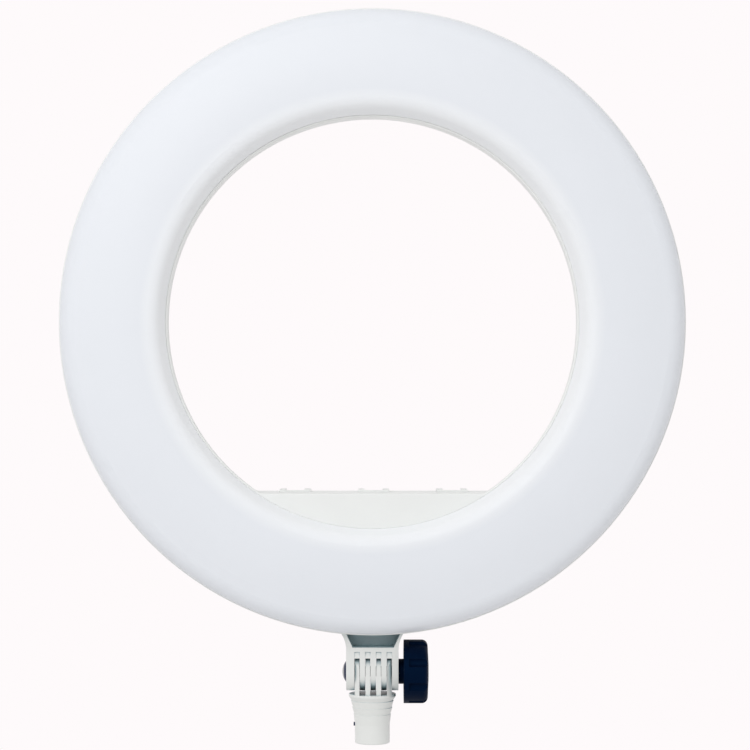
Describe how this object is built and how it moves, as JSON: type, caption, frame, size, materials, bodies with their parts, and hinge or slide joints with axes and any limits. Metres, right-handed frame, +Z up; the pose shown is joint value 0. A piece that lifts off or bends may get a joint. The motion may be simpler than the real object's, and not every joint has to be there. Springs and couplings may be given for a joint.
{
  "type": "led ring light",
  "caption": "Ring light with a frosted diffuser round an open centre, accessory shoes on a flat across its bottom, and a tilting knuckle with a stand socket.",
  "frame": {"origin": "centre of the stand socket's mouth, on the bore's axis", "axes": "+X to the right of someone who faces the light, +Y away from them towards the back, +Z up along the socket's bore"},
  "size_m": [0.4799, 0.0796, 0.5654],
  "materials": {
    "diffuser_white": "frosted",
    "housing_white": "satin",
    "knuckle_white": "satin",
    "screw_steel": "zinc plated",
    "board_white": "white solder mask",
    "tinned_wire": "tinned",
    "led_warm": "phosphor",
    "led_cool": "phosphor",
    "board_green": "solder mask",
    "capacitor_sleeve": "sleeved",
    "ferrite": "sintered",
    "bare_aluminium": "extruded",
    "chip_black": "moulded",
    "header_white": "nylon",
    "display_dark": "liquid crystal",
    "window_clear": "polished",
    "pot_metal": "nickel plated",
    "dial_black": "fine texture",
    "switch_black": "moulded",
    "rocker_black": "polished",
    "lead_red": "insulated",
    "lead_white": "insulated",
    "plate_steel": "zinc plated",
    "bolt_steel": "dark zinc plated",
    "knob_black": "moulded",
    "brass": "turned"
  },
  "bodies": {
    "stand": {"stand_socket": "knuckle_white", "lock_insert": "brass"},
    "head": {"front_diffuser": "diffuser_white", "front_housing": "housing_white", "rear_housing": "housing_white", "cold_shoe_left": "housing_white", "cold_shoe_centre": "housing_white", "cold_shoe_right": "housing_white", "housing_screws": "screw_steel", "board_screws": "screw_steel", "diffuser_screws": "screw_steel", "driver_screws": "screw_steel", "control_screws": "screw_steel", "yoke_screws": "screw_steel", "shoe_screws": "screw_steel", "led_boards": "board_white", "board_jumpers": "tinned_wire", "warm_leds": "led_warm", "cool_leds": "led_cool", "driver_board": "board_green", "driver_capacitors": "capacitor_sleeve", "driver_inductors": "ferrite", "driver_heat_sink": "bare_aluminium", "driver_chips": "chip_black", "driver_headers": "header_white", "control_board": "board_green", "control_chip": "chip_black", "control_header": "header_white", "display_module": "display_dark", "display_window": "window_clear", "brightness_pot": "pot_metal", "colour_pot": "pot_metal", "brightness_nut": "pot_metal", "colour_nut": "pot_metal", "power_switch": "switch_black", "power_inlet": "switch_black", "inlet_nut": "pot_metal", "light_leads": "lead_red", "control_leads": "lead_white", "power_leads": "lead_red", "yoke": "knuckle_white", "yoke_plate": "plate_steel", "pivot_bolt": "bolt_steel"},
    "lock": {"lock_screw": "bolt_steel"},
    "washer": {"knob_washer": "bolt_steel"},
    "knob": {"tilt_knob": "knob_black", "knob_nut": "brass"},
    "brightness": {"brightness_shaft": "pot_metal", "brightness_dial": "dial_black"},
    "colour": {"colour_shaft": "pot_metal", "colour_dial": "dial_black"},
    "rocker": {"power_rocker": "rocker_black"}
  },
  "joints": [
    {"name": "tilt", "type": "hinge", "parent": "stand", "child": "head", "pos_m": [0, 0, 0.0552], "axis": [1, 0, 0], "range_deg": [-65, 65]},
    {"name": "lock_screw_travel", "type": "slide", "parent": "stand", "child": "lock", "axis": [-1, 0, 0], "range_m": [0, 0.003]},
    {"name": "knob_travel", "type": "slide", "parent": "head", "child": "washer", "axis": [1, 0, 0], "range_m": [0, 0.0025]},
    {"name": "knob_turn", "type": "hinge", "parent": "washer", "child": "knob", "pos_m": [0, 0, 0.0552], "axis": [1, 0, 0], "range_deg": [0, 720]},
    {"name": "brightness_turn", "type": "hinge", "parent": "head", "child": "brightness", "pos_m": [0.046, 0.024, 0.1454], "axis": [0, 1, 0], "range_deg": [-150, 150]},
    {"name": "colour_turn", "type": "hinge", "parent": "head", "child": "colour", "pos_m": [-0.046, 0.024, 0.1454], "axis": [0, 1, 0], "range_deg": [-150, 150]},
    {"name": "power_rock", "type": "hinge", "parent": "head", "child": "rocker", "pos_m": [0.024, 0.0244, 0.1094], "axis": [0, 0, 1], "range_deg": [-20, 0]}
  ],
  "couplings": [
    {"joint": "knob_travel", "follows": "knob_turn", "m_per_rad": 0.00019894}
  ]
}
